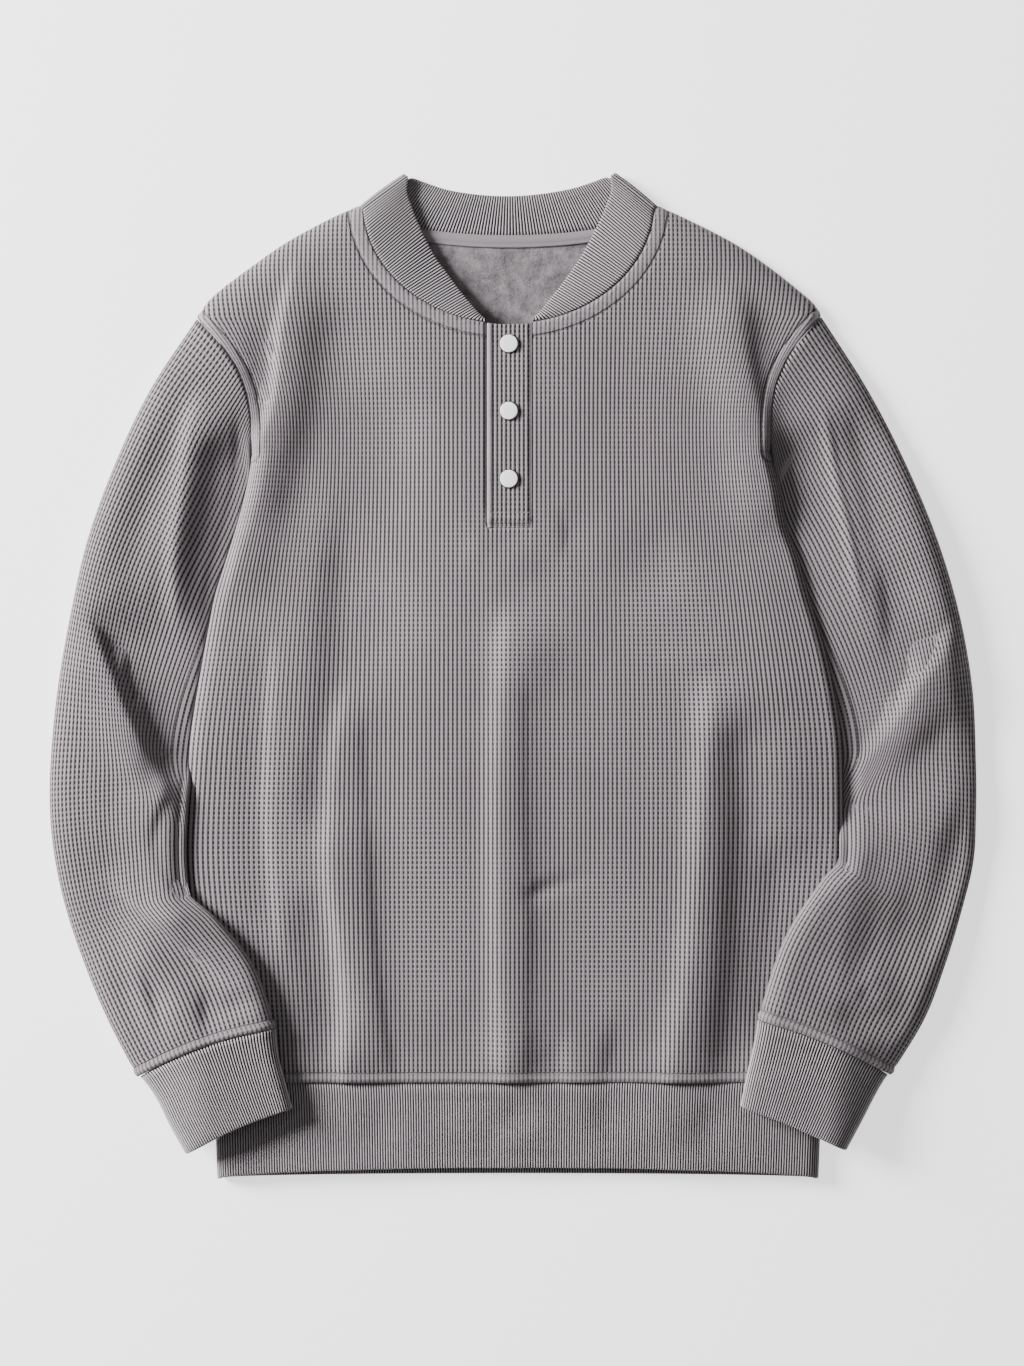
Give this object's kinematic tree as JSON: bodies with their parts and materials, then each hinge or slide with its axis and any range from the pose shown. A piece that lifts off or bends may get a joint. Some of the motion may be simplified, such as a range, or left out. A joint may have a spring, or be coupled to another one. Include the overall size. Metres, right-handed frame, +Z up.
{
  "type": "henley shirt",
  "caption": "Long-sleeved waffle-knit henley with a ribbed band collar, short snap placket, ribbed cuffs and hem band, laid out flat on its back.",
  "frame": {"origin": "on the surface the shirt lies on, under the middle of its outline", "axes": "+Y from the hem to the collar, +X towards the wearer's left sleeve, +Z up, out of the front"},
  "size_m": [0.6694, 0.728, 0.0345],
  "materials": {
    "knit": "grey waffle knit",
    "fleece": "grey brushed back of the knit",
    "rib": "grey fine ribbing",
    "snap_cap": "off-white snap caps with a thin dark rim"
  },
  "bodies": {
    "root": {"front_panel": "knit", "back_panel": "fleece", "sleeve_right": "knit", "sleeve_left": "knit", "cuff_right": "rib", "cuff_left": "rib", "hem_band": "rib", "collar": "rib", "neck_tape": "rib", "placket_upper": "rib", "placket_under": "knit", "snap_1": "snap_cap", "snap_2": "snap_cap", "snap_3": "snap_cap"}
  },
  "joints": []
}
